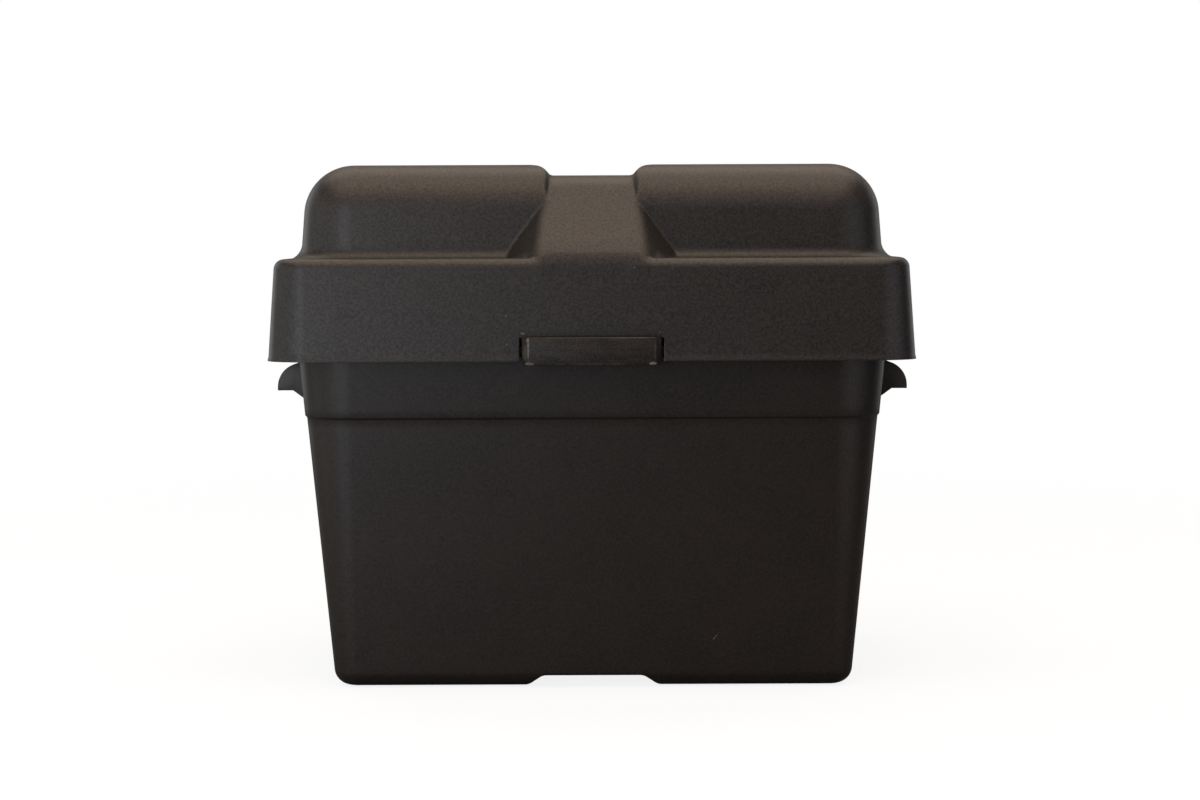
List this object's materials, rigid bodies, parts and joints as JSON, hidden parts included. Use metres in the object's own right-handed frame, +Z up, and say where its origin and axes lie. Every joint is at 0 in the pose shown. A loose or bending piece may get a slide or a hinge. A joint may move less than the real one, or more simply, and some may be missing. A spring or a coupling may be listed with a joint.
{
  "type": "battery box",
  "caption": "Moulded black battery box: a tapered tub with end grips and a domed lift-off lid held by snap latches, with channels for a tie-down strap.",
  "frame": {"origin": "middle of the underside, in the plane of the feet", "axes": "+X along the box, +Y towards the rear latch, +Z up; the front latch faces -Y"},
  "size_m": [0.3464, 0.2544, 0.2815],
  "materials": {
    "tub_plastic": "fine moulded grain",
    "lid_plastic": "fine moulded grain",
    "latch_plastic": "smooth moulded, lightly scuffed"
  },
  "bodies": {
    "tub": {"tub": "tub_plastic"},
    "lid": {"lid": "lid_plastic"},
    "front_latch": {"front_latch": "latch_plastic"},
    "rear_latch": {"rear_latch": "latch_plastic"}
  },
  "joints": [
    {"name": "lid_lift", "type": "slide", "parent": "tub", "child": "lid", "axis": [0, 0, 1], "range_m": [0, 0.15]},
    {"name": "front_latch_hinge", "type": "hinge", "parent": "lid", "child": "front_latch", "pos_m": [0, -0.11656, 0.1887], "axis": [-1, 0, 0], "range_deg": [0, 20]},
    {"name": "rear_latch_hinge", "type": "hinge", "parent": "lid", "child": "rear_latch", "pos_m": [0, 0.11656, 0.1887], "axis": [1, 0, 0], "range_deg": [0, 20]}
  ]
}
